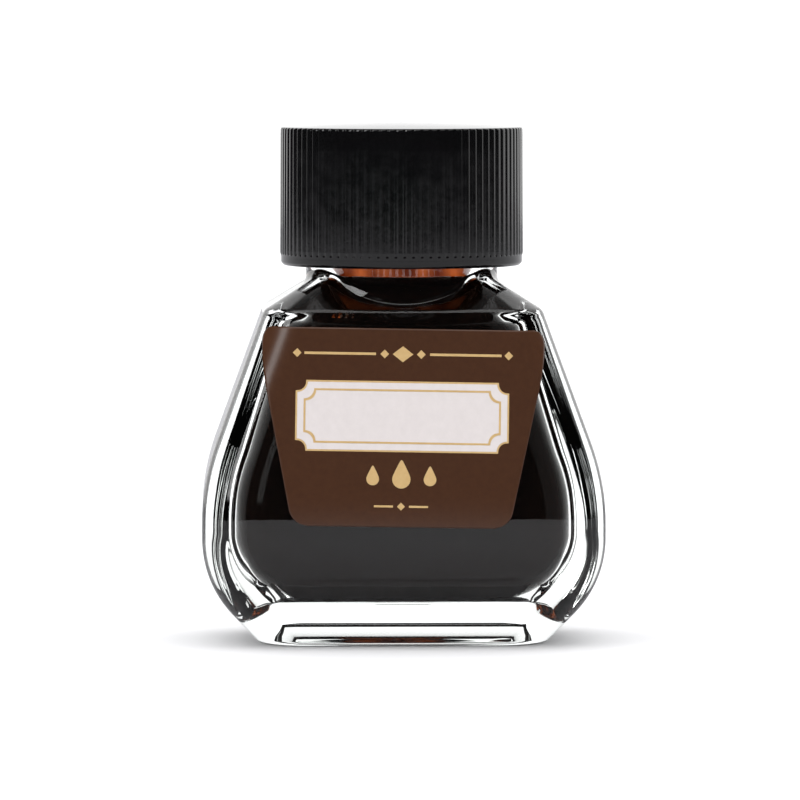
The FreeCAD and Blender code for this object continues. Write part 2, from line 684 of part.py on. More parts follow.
# ---------------------------------------------------------------------------- build and write
def build():
    """Make the five sub-parts and return them in the order of assembly."""
    body, outside = make_glass_outside()
    cavity = make_cavity()
    recess = make_recess()
    bottle = make_glass_bottle(outside, cavity, recess)
    return [bottle, make_ink(cavity), make_front_label(body), make_cap_liner(), make_screw_cap()]


def check_document():
    """Stop if any object of the document failed to compute or has an unusable shape."""
    for thing in doc.Objects:
        if "Invalid" in thing.State or "Error" in thing.State:
            raise RuntimeError("%s did not compute" % thing.Name)
        if hasattr(thing, "Shape") and (thing.Shape.isNull() or not thing.Shape.isValid()):
            raise RuntimeError("%s has no valid shape" % thing.Name)


def write_parts(parts):
    os.makedirs("parts", exist_ok=True)
    for part in parts:
        solids = part.Shape.Solids
        if len(solids) != 1:
            raise RuntimeError("%s is %d solids" % (part.Label, len(solids)))
        part.Shape.exportStep("parts/%s.step" % part.Label)
        box = part.Shape.BoundBox
        print("%-14s %9.1f mm3  x %.2f..%.2f  y %.2f..%.2f  z %.2f..%.2f" % (
            part.Label, part.Shape.Volume, box.XMin, box.XMax, box.YMin, box.YMax, box.ZMin,
            box.ZMax))


sub_parts = build()
for sub_part in sub_parts:
    sub_part.Label = sub_part.Name
doc.recompute()
check_document()
write_parts(sub_parts)
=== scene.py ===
import math

import bmesh
import bpy
import numpy as np
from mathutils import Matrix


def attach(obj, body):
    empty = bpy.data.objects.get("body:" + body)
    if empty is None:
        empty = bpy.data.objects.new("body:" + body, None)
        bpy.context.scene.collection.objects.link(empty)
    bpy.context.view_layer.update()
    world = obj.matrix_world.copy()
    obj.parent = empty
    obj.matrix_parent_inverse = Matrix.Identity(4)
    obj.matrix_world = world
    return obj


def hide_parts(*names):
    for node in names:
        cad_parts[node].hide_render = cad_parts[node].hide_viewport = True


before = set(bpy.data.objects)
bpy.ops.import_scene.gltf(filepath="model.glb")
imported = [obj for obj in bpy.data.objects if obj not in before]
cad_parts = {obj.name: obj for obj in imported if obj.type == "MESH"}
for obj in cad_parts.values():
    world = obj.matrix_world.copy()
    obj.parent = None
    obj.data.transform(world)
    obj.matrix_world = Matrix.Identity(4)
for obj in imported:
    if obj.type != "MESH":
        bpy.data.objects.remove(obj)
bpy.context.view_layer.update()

# =====================================================================================
# GLASS BOTTLE
# A heavy bottle of clear soda-lime glass, pressed in a two-part mould and fire-polished:
# walls of 4 to 5 mm, a rounded-oblong body that swells low down and leans in to a sloping
# shoulder, a hollow under the base, and a round neck with a right-hand screw thread.
# =====================================================================================
MM = 0.001
AROUND = 288  # points round each ring of the bottle and the ink
FLOOR = 6.8  # glass under the ink
DOME = 1.0  # rise of the floor at its middle
FLOOR_X, FLOOR_Y = 18.2, 9.9  # half sizes of the floor inside its rounded edge
HEEL = 7.4  # radius that turns the inner walls in to the floor
CORNER = 5.5  # upright corners, outside
NECK = 12.2  # radius outside
BORE = 9.0  # radius inside
LIP = 62.0  # height of the lip
SHOULDER_SLOPE = 0.56
CAVITY_SLOPE = 0.75
CAVITY_EDGE = (14.06, 9.45, 3.8, 40.4)  # where the inner walls turn in to the neck


def outline(height, half, low, high, upper, lean, lower, heel):
    """Half size of a wall at each height: an upright band, an arc above it that turns the wall
    inwards by the lean and a straight above that, and the same below it down to the heel."""
    up = math.radians(lean)
    down = math.radians(heel)
    rise = np.maximum(height - high, 0.0)
    drop = np.maximum(low - height, 0.0)
    arc_up = half - upper + np.sqrt(np.maximum(upper ** 2 - rise ** 2, 0.0))
    line_up = half - upper * (1 - math.cos(up)) - (rise - upper * math.sin(up)) * math.tan(up)
    above = np.where(rise < upper * math.sin(up), arc_up, line_up)
    arc_down = half - lower + np.sqrt(np.maximum(lower ** 2 - drop ** 2, 0.0))
    foot = half - lower * (1 - math.cos(down))
    line_down = foot - (drop - lower * math.sin(down)) * math.tan(down)
    below = np.where(drop < lower * math.sin(down), arc_down, line_down)
    return np.where(height > low, above, below)


def body_section(height):
    """Outside of the body at each height: half width, half depth, corner radius, height."""
    wide = outline(height, 25.5, 13.9, 15.6, 30.0, 20.0, 15.0, 42.0)
    deep = outline(height, 17.25, 13.9, 15.6, 30.0, 8.5, 15.0, 36.0)
    return np.stack([wide, deep, np.full_like(height, CORNER), height], axis=1)


def cavity_section(height):
    """Inside of the body at each height, in the same order as body_section."""
    wide = outline(height, 21.0, 14.2, 15.4, 25.0, 18.5, HEEL, 75.0)
    deep = outline(height, 12.7, 14.2, 15.4, 25.0, 8.5, HEEL, 75.0)
    return np.stack([wide, deep, np.full_like(height, 3.8), height], axis=1)


def rounded_run(stations, cuts, steps=8):
    """Path through the stations with each corner replaced by a quadratic curve that starts and
    ends the cut distance from the corner; a cut of 0 keeps the corner.  A station is one point
    of a profile or a whole ring of points, each of which follows its own path."""
    stations = np.array(stations, dtype=float)
    out = [stations[:1]]
    t = np.linspace(0, 1, steps + 1).reshape([-1] + [1] * (stations.ndim - 1))
    for before, corner, after, cut in zip(stations, stations[1:], stations[2:], cuts):
        if cut == 0:
            out.append(corner[None])
            continue
        back = before - corner
        ahead = after - corner
        room = np.linalg.norm(back, axis=-1, keepdims=True)
        first = corner + back * np.minimum(0.49, cut / room)
        room = np.linalg.norm(ahead, axis=-1, keepdims=True)
        last = corner + ahead * np.minimum(0.49, cut / room)
        out.append((1 - t) ** 2 * first + 2 * t * (1 - t) * corner + t ** 2 * last)
    out.append(stations[-1:])
    return np.concatenate(out)


def refine(profile, longest):
    """Adds evenly spaced stations so that no step of the profile is longer than given."""
    out = []
    for a, b in zip(profile, profile[1:]):
        count = max(1, int(math.ceil(np.linalg.norm(b - a) / longest)))
        out.append(a + (b - a) * np.linspace(0, 1, count, endpoint=False)[:, None])
    out.append(profile[-1:])
    return np.concatenate(out)


def sections_to_rings(profile, turn):
    """Rounded rectangles of half width A, half depth B and corner radius R, one per station: the
    middles of the sides are straight and the angle only advances round the corners.  Where A and
    B come down to R the straights fade out and the ring is a plain circle."""
    a, b, r, z = (profile[:, k, None] for k in range(4))
    flat = math.radians(15.0)
    quarter = math.pi / 2
    local = np.mod(turn, quarter)
    base = turn - local
    stepped = base + np.clip((local - flat) / (quarter - 2 * flat), 0, 1) * quarter
    straight = np.clip(np.minimum(a - r, b - r) / 0.8, 0, 1)
    angle = turn + (stepped - turn) * straight
    near_x = np.abs(np.mod(turn + quarter, math.pi) - quarter)
    near_y = np.abs(np.mod(turn, math.pi) - quarter)
    side_x = np.clip(near_y / flat, 0, 1) * np.sign(np.cos(turn))
    side_y = np.clip(near_x / flat, 0, 1) * np.sign(np.sin(turn))
    x = (a - r) * side_x + r * np.cos(angle)
    y = (b - r) * side_y + r * np.sin(angle)
    return np.stack([x, y, np.broadcast_to(z, x.shape)], axis=2)


def ring_mesh(name, rings, start=None, end=None):
    """Surface over stacked closed rings (rows by points by xyz, in mm); start and end are points
    that close the first and the last row.  Rows that climb face outwards."""
    rows, cols = rings.shape[:2]
    points = rings.reshape(-1, 3)
    i, j = np.meshgrid(np.arange(rows - 1), np.arange(cols), indexing="ij")
    k = (j + 1) % cols
    quads = np.stack([i * cols + j, i * cols + k, (i + 1) * cols + k, (i + 1) * cols + j], axis=2)
    around = np.arange(cols)
    after = (around + 1) % cols
    fans = []
    if start is not None:
        fans.append(np.stack([after, around, np.full(cols, len(points))], axis=1))
        points = np.vstack([points, start])
    if end is not None:
        last = (rows - 1) * cols
        fans.append(np.stack([last + around, last + after, np.full(cols, len(points))], axis=1))
        points = np.vstack([points, end])
    faces = [quads.reshape(-1, 4)] + fans
    sizes = np.concatenate([np.full(len(f), f.shape[1]) for f in faces])
    return array_mesh(name, points, np.concatenate([f.ravel() for f in faces]), sizes)


def array_mesh(name, points, corners, sizes):
    """Smooth mesh object from arrays: points in mm, corner indices, corners per face."""
    mesh = bpy.data.meshes.new(name)
    mesh.vertices.add(len(points))
    mesh.vertices.foreach_set("co", (points * MM).ravel())
    mesh.loops.add(len(corners))
    mesh.loops.foreach_set("vertex_index", corners)
    mesh.polygons.add(len(sizes))
    mesh.polygons.foreach_set("loop_start", np.cumsum(sizes) - sizes)
    mesh.polygons.foreach_set("use_smooth", np.ones(len(sizes), dtype=bool))
    mesh.update(calc_edges=True)
    mesh.validate()
    piece = bpy.data.objects.new(name, mesh)
    bpy.context.scene.collection.objects.link(piece)
    return piece


def ramp(value, low, high):
    """Smooth rise from 0 to 1 between low and high."""
    t = np.clip((value - low) / (high - low), 0, 1)
    return t * t * (3 - 2 * t)


def helix_ridge(z, turn, start, pitch, turns, root, crest):
    """Height from 0 to 1 of a thread at each z and angle: a trapezium as wide as root at its foot
    and as crest at its top, which follows a helix and fades in and out over 25 degrees."""
    height = np.zeros(np.broadcast(z, turn).shape)
    for lap in range(int(math.ceil(turns)) + 1):
        wound = turn + 2 * math.pi * lap
        middle = start + pitch * wound / (2 * math.pi)
        side = 1 - ramp(np.abs(z - middle), crest / 2, root / 2)
        full = 2 * math.pi * turns
        fade = ramp(wound, 0, 0.44) * (1 - ramp(wound, full - 0.44, full))
        height = np.maximum(height, side * fade)
    return height


def linear(hex_colour):
    """Scene-linear colour of an sRGB hex string."""
    out = []
    for at in (0, 2, 4):
        c = int(hex_colour[at:at + 2], 16) / 255
        out.append(c / 12.92 if c <= 0.04045 else ((c + 0.055) / 1.055) ** 2.4)
    return (*out, 1.0)


def new_material(name):
    """Empty node material and its output node."""
    material = bpy.data.materials.new(name)
    material.use_nodes = True
    tree = material.node_tree
    tree.nodes.clear()
    return material, tree, tree.nodes.new("ShaderNodeOutputMaterial")


def node(tree, kind, settings=None, **inputs):
    """Adds a node; settings are its properties, inputs are values, or sockets to link from."""
    made = tree.nodes.new("ShaderNode" + kind)
    for key, value in (settings or {}).items():
        setattr(made, key, value)
    for key, value in inputs.items():
        name = key.replace("_", " ")
        socket = made.inputs[int(key[1:])] if key[1:].isdigit() else made.inputs[name]
        if isinstance(value, bpy.types.NodeSocket):
            tree.links.new(value, socket)
        else:
            socket.default_value = value
    return made


def bearing_of(ring):
    """Direction of each point of a ring as seen from the axis, rising all the way round."""
    return np.unwrap(np.arctan2(ring[:, 1], ring[:, 0]))[None, :]


def circle(radius, z, turn):
    """Level ring with a point at each angle: x = r cos(angle), y = r sin(angle)."""
    across = radius * np.cos(turn[0])
    along = radius * np.sin(turn[0])
    return np.stack([across, along, np.full_like(across, z)], axis=1)


def sloped_circle(radius, edge, slope):
    """Ring of a given radius, raised above an edge ring by the slope times the distance to it."""
    ring = circle(radius, 0, bearing_of(edge))
    run = np.linalg.norm(edge[:, :2] - ring[:, :2], axis=1)
    ring[:, 2] = edge[:, 2] + slope * run
    return ring


turn = np.linspace(0, 2 * math.pi, AROUND, endpoint=False)[None, :]
base = rounded_run(
    [[0.15, 0.15, 0.15, 1.1], [14.2, 6.6, 2.9, 1.1], [15.3, 7.7, 4.0, 0.0],
     [18.17, 10.70, CORNER, 0.0], body_section(np.array([1.4]))[0]], [0.5, 0.35, 1.0], 6)
base = np.concatenate([refine(base[:2], 1.8), base[2:-1]])
walls = body_section(np.linspace(1.4, 41.2, 92))
base_rings = sections_to_rings(base, turn)
wall_rings = sections_to_rings(walls, turn)
edge = sections_to_rings(np.array([[17.62, 13.55, CORNER, 42.55]]), turn)[0]
root = sloped_circle(NECK, edge, SHOULDER_SLOPE)
bearing = bearing_of(edge)
shoulder_rings = rounded_run([wall_rings[-1], edge, root, circle(NECK, 50.2, bearing)],
                             [0.6, 1.3], 12)
neck_rings = np.array([circle(NECK, z, bearing) for z in np.arange(50.3, 60.71, 0.17)])
lip = rounded_run([[NECK, 60.8], [NECK, LIP], [BORE, LIP], [BORE, 60.9]], [0.9, 0.6], 8)
lip_rings = np.array([circle(r, z, bearing) for r, z in lip])

inner = cavity_section(np.linspace(39.0, FLOOR + 2.5, 60))
inner_rings = sections_to_rings(inner, turn)
inner_edge = sections_to_rings(np.array([CAVITY_EDGE]), turn)[0]
inner_root = sloped_circle(BORE, inner_edge, CAVITY_SLOPE)
throat_rings = rounded_run([circle(BORE, 60.8, bearing), inner_root, inner_edge, inner_rings[0]],
                           [1.2, 0.8], 10)
throat_rings = np.concatenate([np.linspace(throat_rings[0], throat_rings[1], 8)[1:-1],
                               throat_rings[1:-1]])
heel = cavity_section(np.array([FLOOR + 2.5, FLOOR + 1.9, FLOOR + 1.3, FLOOR + 0.8,
                                FLOOR + 0.4]))
floor = np.array([[FLOOR_X * k, FLOOR_Y * k, 2.6 * k, FLOOR + DOME * (1 - k * k)]
                  for k in (1.0, 0.9, 0.75, 0.6, 0.4, 0.2, 0.01)])
bottom_rings = sections_to_rings(np.concatenate([heel[1:], floor]), turn)
glass_rings = np.concatenate([base_rings, wall_rings, shoulder_rings[1:], neck_rings,
                              lip_rings[1:], throat_rings, inner_rings, bottom_rings])
height = glass_rings[:, :, 2]
reach = np.hypot(glass_rings[:, :, 0], glass_rings[:, :, 1])
ridge = helix_ridge(height, bearing, 53.0, 4.2, 1.5, 2.2, 0.9)
on_neck = (reach > 12.0) & (height > 50)
glass_rings[:, :, :2] *= np.where(on_neck, 1 + ridge * 1.1 / NECK, 1.0)[:, :, None]
bottle_glass = ring_mesh("bottle_glass", glass_rings, [0, 0, 1.1], [0, 0, FLOOR + DOME])


def glass_material():
    """Soda-lime glass: colourless with a trace of green in the thick base; the mould leaves a
    very slight ripple, and handling a faint haze in patches.  Scattered light passes straight
    through, so the table under the bottle is lit as bright as real glass lights it."""
    material, tree, out = new_material("soda-lime glass")
    place = node(tree, "TexCoord").outputs["Object"]
    ripple = node(tree, "TexNoise", Vector=place, Scale=90.0, Detail=2.0, Roughness=0.4)
    bump = node(tree, "Bump", Strength=0.03, Distance=0.0003, Height=ripple.outputs["Fac"])
    haze = node(tree, "TexNoise", Vector=place, Scale=260.0, Detail=5.0, Roughness=0.6)
    rough = node(tree, "MapRange", Value=haze.outputs["Fac"], From_Min=0.45, From_Max=0.8,
                 To_Min=0.0, To_Max=0.035)
    body = node(tree, "BsdfPrincipled", Base_Color=linear("FBFDFC"), IOR=1.52,
                Roughness=rough.outputs["Result"], Transmission_Weight=1.0,
                Normal=bump.outputs["Normal"])
    depth = node(tree, "VolumeAbsorption", Color=linear("E6F0EA"), Density=3.0)
    ray = node(tree, "LightPath")
    scattered = node(tree, "Math", {"operation": "MAXIMUM"}, i0=ray.outputs["Is Shadow Ray"],
                     i1=ray.outputs["Is Diffuse Ray"])
    share = node(tree, "Math", {"operation": "MULTIPLY"}, i0=scattered.outputs[0], i1=0.3)
    through = node(tree, "BsdfTransparent", Color=(0.97, 0.98, 0.975, 1))
    both = node(tree, "MixShader", Fac=share.outputs[0], i1=body.outputs[0],
                i2=through.outputs[0])
    tree.links.new(both.outputs[0], out.inputs["Surface"])
    tree.links.new(depth.outputs[0], out.inputs["Volume"])
    return material


bottle_glass.data.materials.append(glass_material())
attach(bottle_glass, "bottle")
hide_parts("glass_bottle")

# =====================================================================================
# INK
# Brown-black fountain pen ink that fills the bottle to the root of the neck.  It is opaque
# in the body; where it only wets the wall of the neck it is a thin orange film, with a painted
# glow in place of the light that shines through it.
# =====================================================================================
INTO_GLASS = 0.02
INK_LEVEL = 46.0
CLIMB = 0.7  # the ink creeps this far up the wall of the neck


def swollen(profile):
    """Sections made larger all round, so that the ink's skin lies just inside the glass."""
    return profile + np.array([INTO_GLASS, INTO_GLASS, INTO_GLASS, 0.0])


ink_bottom = swollen(np.concatenate([floor[::-1], heel[:0:-1]]))
ink_bottom[:, 3] -= INTO_GLASS * (ink_bottom[:, 3] < FLOOR + DOME + 0.01)
ink_walls = sections_to_rings(swollen(inner[::-1]), turn)
ink_edge = sections_to_rings(swollen(np.array([CAVITY_EDGE])), turn)[0]
ink_root = sloped_circle(BORE + INTO_GLASS, ink_edge, CAVITY_SLOPE)
ink_bearing = bearing_of(ink_edge)
ink_top = circle(BORE + INTO_GLASS, INK_LEVEL + CLIMB, ink_bearing)
ink_throat = rounded_run([ink_walls[-1], ink_edge, ink_root, ink_top], [0.8, 1.2], 10)
meniscus = [circle(r, INK_LEVEL + CLIMB * math.exp((r - BORE) / 0.9), ink_bearing)
            for r in (8.9, 8.6, 8.2, 7.7, 7.0, 6.0, 4.0, 2.0, 0.2)]
ink_rings = np.concatenate([sections_to_rings(ink_bottom, turn), ink_walls,
                            ink_throat[1:], np.array(meniscus)])
ink_fill = ring_mesh("ink_fill", ink_rings, [0, 0, FLOOR + DOME - INTO_GLASS],
                     [0, 0, INK_LEVEL])


def ink_material():
    """Ink seen through glass: almost black with a warm cast.  Water bends light less than glass,
    so light that grazes the wall is thrown back as if by a mirror; fine sediment makes the tone
    drift a little."""
    material, tree, out = new_material("dye ink")
    place = node(tree, "TexCoord").outputs["Object"]
    cloud = node(tree, "TexNoise", Vector=place, Scale=45.0, Detail=3.0, Roughness=0.5)
    tone = node(tree, "Mix", {"data_type": "RGBA"}, Factor=cloud.outputs["Fac"],
                i6=linear("0B0706"), i7=linear("140C09"))
    body = node(tree, "BsdfPrincipled", Base_Color=tone.outputs[2], Roughness=0.3, IOR=1.0)
    mirror = node(tree, "BsdfAnisotropic", {"distribution": "GGX"}, Color=(1, 1, 1, 1),
                  Roughness=0.0)
    share = node(tree, "Fresnel", IOR=0.88)
    both = node(tree, "MixShader", Fac=share.outputs[0], i1=body.outputs[0],
                i2=mirror.outputs[0])
    tree.links.new(both.outputs[0], out.inputs["Surface"])
    return material


ink_fill.data.materials.append(ink_material())
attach(ink_fill, "bottle")
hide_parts("ink")

film_z = np.linspace(46.75, 53.5, 30)
film_edge = 51.0 + 1.2 * np.sin(turn * 3 + 0.7) + 0.6 * np.sin(turn * 7 + 2.1)
wet = 0.16 * (1 - ramp(film_z[:, None], film_edge - 1.2, film_edge))
wet = wet * (0.75 + 0.25 * np.sin(turn * 11 + film_z[:, None])) + 0.004
inner_r = BORE - wet
outer_r = np.full_like(wet, 8.995)
radius = np.concatenate([outer_r, inner_r[::-1], outer_r[:1]])
level = np.concatenate([film_z, film_z[::-1], film_z[:1]])[:, None] + 0 * turn
film_rings = np.stack([radius * np.cos(turn), radius * np.sin(turn), level], axis=2)
ink_film = ring_mesh("ink_film", film_rings)


def film_material():
    """The same ink a tenth of a millimetre thick: a clear orange-brown, streaked where it has
    drained; the light it gathers from the glass is painted on as a faint glow."""
    material, tree, out = new_material("ink film")
    place = node(tree, "TexCoord").outputs["Object"]
    drawn = node(tree, "VectorMath", {"operation": "MULTIPLY"}, i0=place, i1=(1.0, 1.0, 0.22))
    streak = node(tree, "TexNoise", Vector=drawn.outputs["Vector"], Scale=420.0, Detail=3.0)
    drained = node(tree, "MapRange", Value=streak.outputs["Fac"], From_Min=0.36, From_Max=0.66,
                   To_Min=0.0, To_Max=1.0)
    tone = node(tree, "Mix", {"data_type": "RGBA"}, Factor=drained.outputs["Result"],
                i6=linear("6A260E"), i7=linear("CC6A34"))
    body = node(tree, "BsdfPrincipled", Base_Color=tone.outputs[2], Roughness=0.05, IOR=1.33,
                Transmission_Weight=1.0)
    # painted light: the film glows orange, standing in for light that shines through it from
    # behind
    painted_backlight_glow = node(tree, "Emission", Color=tone.outputs[2], Strength=0.75)
    both = node(tree, "MixShader", Fac=0.7, i1=body.outputs[0], i2=painted_backlight_glow.outputs[0])
    tree.links.new(both.outputs[0], out.inputs["Surface"])
    return material


ink_film.data.materials.append(film_material())
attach(ink_film, "bottle")
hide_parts("ink")

# =====================================================================================
# FRONT LABEL
# Coated paper printed brown, with a blank white writing panel and gold ornament and no
# lettering, stuck on by hand a little off the middle and about a degree out of level; its
# upper corners bend round the glass.
# =====================================================================================
LABEL_LOW, LABEL_HIGH = 15.6, 40.4
LABEL_TILT = math.radians(-1.0)
LABEL_SHIFT = -0.35


def on_front(across, height, lift):
    """Point on the front of the glass from a distance measured along the surface from the middle
    and a height: straight over the face, then round the corner; lift is the gap to the glass."""
    wide, deep, corner, _ = body_section(height.ravel()).T
    s = across.ravel()
    flat = wide - corner
    bend = np.clip((np.abs(s) - flat) / corner, 0, 1.7)
    x = np.sign(s) * (np.minimum(np.abs(s), flat) + (corner + lift) * np.sin(bend))
    y = -(deep - corner) - (corner + lift) * np.cos(bend)
    return np.stack([x, y, height.ravel()], axis=1)


def tilt(across, height):
    """Turns positions on the label about its middle by the tilt it is stuck on with."""
    c, s = math.cos(LABEL_TILT), math.sin(LABEL_TILT)
    x, z = across - LABEL_SHIFT, height - 28.0
    return x * c - z * s + LABEL_SHIFT, x * s + z * c + 28.0


rows_v = np.linspace(0, 1, 100)[:, None]
cols_u = np.linspace(-1, 1, 140)[None, :]
height = LABEL_LOW + (LABEL_HIGH - LABEL_LOW) * rows_v
half_width = 13.65 + (18.7 - 13.65) * rows_v
nearest = np.minimum(height - LABEL_LOW, LABEL_HIGH - height)
corner_in = np.maximum(2.0 - nearest, 0)
half_width = half_width - 2.0 + np.sqrt(4.0 - corner_in ** 2)
across, height = tilt(LABEL_SHIFT + half_width * cols_u, height + 0 * cols_u)
label_points = on_front(across, height, 0.10)
n, m = across.shape
i, j = np.meshgrid(np.arange(n - 1), np.arange(m - 1), indexing="ij")
cells = np.stack([i * m + j, i * m + j + 1, (i + 1) * m + j + 1, (i + 1) * m + j], axis=2)
label_paper = array_mesh("label_paper", label_points, cells.ravel(),
                         np.full((n - 1) * (m - 1), 4))
thick = label_paper.modifiers.new("thickness", "SOLIDIFY")
thick.thickness = 0.12 * MM
thick.offset = -1.0


def paper_material():
    """Coated label stock with a solid brown print: satin, with fine print mottle."""
    material, tree, out = new_material("printed coated paper")
    place = node(tree, "TexCoord").outputs["Object"]
    mottle = node(tree, "TexNoise", Vector=place, Scale=1400.0, Detail=4.0, Roughness=0.7)
    tone = node(tree, "Mix", {"data_type": "RGBA"}, Factor=mottle.outputs["Fac"],
                i6=linear("3A1E0E"), i7=linear("4A2C17"))
    bump = node(tree, "Bump", Strength=0.15, Distance=0.00002, Height=mottle.outputs["Fac"])
    body = node(tree, "BsdfPrincipled", Base_Color=tone.outputs[2], Roughness=0.28, IOR=1.5,
                Normal=bump.outputs["Normal"])
    tree.links.new(body.outputs[0], out.inputs["Surface"])
    return material


label_paper.data.materials.append(paper_material())
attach(label_paper, "bottle")
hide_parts("front_label")


def outline_curve(shapes, spread=0.0):
    """Filled flat curve object from closed lists of points in mm, widened by spread."""
    data = bpy.data.curves.new("flat", "CURVE")
    data.dimensions = "2D"
    data.fill_mode = "BOTH"
    data.offset = spread
    for shape in shapes:
        spline = data.splines.new("POLY")
        spline.points.add(len(shape) - 1)
        for point, (x, y) in zip(spline.points, shape):
            point.co = (x, y, 0, 1)
        spline.use_cyclic_u = True
    return bpy.data.objects.new("flat", data)


def printed(name, flat, lift, move=(0.0, 0.0)):
    """Turns a flat shape into mesh, divides it finely and lays it on the label."""
    bpy.context.scene.collection.objects.link(flat)
    bpy.context.view_layer.update()
    mesh = bpy.data.meshes.new_from_object(flat.evaluated_get(
        bpy.context.evaluated_depsgraph_get()))
    bpy.data.objects.remove(flat)
    work = bmesh.new()
    work.from_mesh(mesh)
    bmesh.ops.remove_doubles(work, verts=work.verts[:], dist=0.001)
    bmesh.ops.translate(work, verts=work.verts[:], vec=(move[0], move[1], 0))
    lows = [min(v.co[k] for v in work.verts) for k in (0, 1)]
    highs = [max(v.co[k] for v in work.verts) for k in (0, 1)]
    for axis, step in ((0, 1.0), (1, 0.5)):
        direction = (1, 0, 0) if axis == 0 else (0, 1, 0)
        for at in np.arange(lows[axis] + step / 2, highs[axis], step):
            spot = (at, 0, 0) if axis == 0 else (0, at, 0)
            everything = work.verts[:] + work.edges[:] + work.faces[:]
            bmesh.ops.bisect_plane(work, geom=everything, plane_co=spot, plane_no=direction)
    bmesh.ops.recalc_face_normals(work, faces=work.faces[:])
    work.to_mesh(mesh)
    work.free()
    flat_points = np.zeros(len(mesh.vertices) * 3)
    mesh.vertices.foreach_get("co", flat_points)
    flat_points = flat_points.reshape(-1, 3)
    s, z = tilt(flat_points[:, 0], flat_points[:, 1])
    mesh.vertices.foreach_set("co", (on_front(s, z, lift) * MM).ravel())
    mesh.update()
    piece = bpy.data.objects.new(name, mesh)
    bpy.context.scene.collection.objects.link(piece)
    return piece


def ticket(half_w, low, high, bite):
    """Outline of a panel centred on the label whose corners are quarter circles bitten out."""
    t = np.linspace(0, math.pi / 2, 9)
    shape = []
    for side, level, start in ((1, low, 1), (1, high, 0), (-1, high, 1), (-1, low, 0)):
        sweep = t if start == 0 else t[::-1]
        inward = -1 if level == high else 1
        x = LABEL_SHIFT + side * (half_w - bite * np.sin(sweep))
        z = level + inward * bite * np.cos(sweep)
        shape += list(zip(x, z))
    return shape


def diamond(x, z, half_w, half_h):
    """Corners of an upright diamond."""
    return [(x - half_w, z), (x, z - half_h), (x + half_w, z), (x, z + half_h)]


def bar(left, right, z, half):
    """Corners of a level bar."""
    return [(left, z - half), (right, z - half), (right, z + half), (left, z + half)]


def ink_drop(x, z, r):
    """Outline of a drop: a circle drawn out to a point above it."""
    t = np.linspace(0, 2 * math.pi, 28, endpoint=False)
    pull = np.maximum(np.sin(t), 0) ** 3
    wide = r * np.cos(t) * (1 - 0.45 * pull)
    return list(zip(x + wide, z + r * np.sin(t) + r * 1.1 * pull))


mid = LABEL_SHIFT
panel = [ticket(13.2, 25.2, 33.6, 1.3)]
frame_line = [ticket(12.4, 26.0, 32.8, 1.3), ticket(12.15, 26.25, 32.55, 1.3)]
print_edge = printed("print_panel_edge", outline_curve(panel, 0.22), 0.115)
print_panel = printed("print_panel", outline_curve(panel), 0.13)
print_frame = printed("print_panel_line", outline_curve(frame_line), 0.145)
rule = [bar(mid - 12.4, mid - 3.4, 37.2, 0.16), bar(mid + 3.4, mid + 12.4, 37.2, 0.16)]
rule += [diamond(mid, 37.2, 1.3, 1.0)]
rule += [diamond(mid + x, 37.2, 0.55, 0.55) for x in (-13.3, -2.3, 2.3, 13.3)]
rule += [bar(mid - 3.4, mid - 1.0, 18.2, 0.13), bar(mid + 1.0, mid + 3.4, 18.2, 0.13)]
rule += [diamond(mid, 18.2, 0.5, 0.5)]
print_rule = printed("print_rule", outline_curve(rule), 0.12)
drops = [ink_drop(mid + x, 21.6, r) for x, r in ((-3.6, 0.8), (0.0, 1.15), (3.6, 0.8))]
print_drops = printed("print_drops", outline_curve(drops), 0.12)


def print_material(name, low, high, metallic, roughness):
    """Printed layer whose tone drifts between two colours in fine specks."""
    material, tree, out = new_material(name)
    place = node(tree, "TexCoord").outputs["Object"]
    speck = node(tree, "TexNoise", Vector=place, Scale=900.0, Detail=4.0, Roughness=0.7)
    tone = node(tree, "Mix", {"data_type": "RGBA"}, Factor=speck.outputs["Fac"],
                i6=linear(low), i7=linear(high))
    body = node(tree, "BsdfPrincipled", Base_Color=tone.outputs[2], Roughness=roughness,
                IOR=1.5, Metallic=metallic)
    tree.links.new(body.outputs[0], out.inputs["Surface"])
    return material


# opaque white screen ink, faintly pink over the brown
white_print = print_material("white printing ink", "C9C2C1", "D6CFCE", 0.0, 0.4)
# gold bronze ink, a warm yellow that is only partly metallic
gold_print = print_material("gold printing ink", "C9A468", "E0C08A", 0.3, 0.45)
for piece, layer in ((print_edge, gold_print), (print_panel, white_print),
                     (print_frame, gold_print), (print_rule, gold_print),
                     (print_drops, gold_print)):
    piece.data.materials.append(layer)
    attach(piece, "bottle")
    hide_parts("front_label")

# =====================================================================================
# CAP LINER
# A disc of white closed-cell foam cut from sheet, pressed into the top of the cap, with the
# print of the lip and a stain of ink on its underside.
# =====================================================================================
liner_profile = rounded_run(
    [[0.1] * 3 + [62.0], [8.9] * 3 + [62.0], [9.3] * 3 + [62.12], [11.9] * 3 + [62.12],
     [12.3] * 3 + [62.0], [13.3] * 3 + [62.0], [13.3] * 3 + [63.2], [0.1] * 3 + [63.2]],
    [0.15, 0.1, 0.1, 0.15, 0.15, 0.15], 4)
liner_rings = sections_to_rings(refine(liner_profile, 0.8), turn)
cap_foam = ring_mesh("liner_foam", liner_rings, [0, 0, 62.0], [0, 0, 63.2])


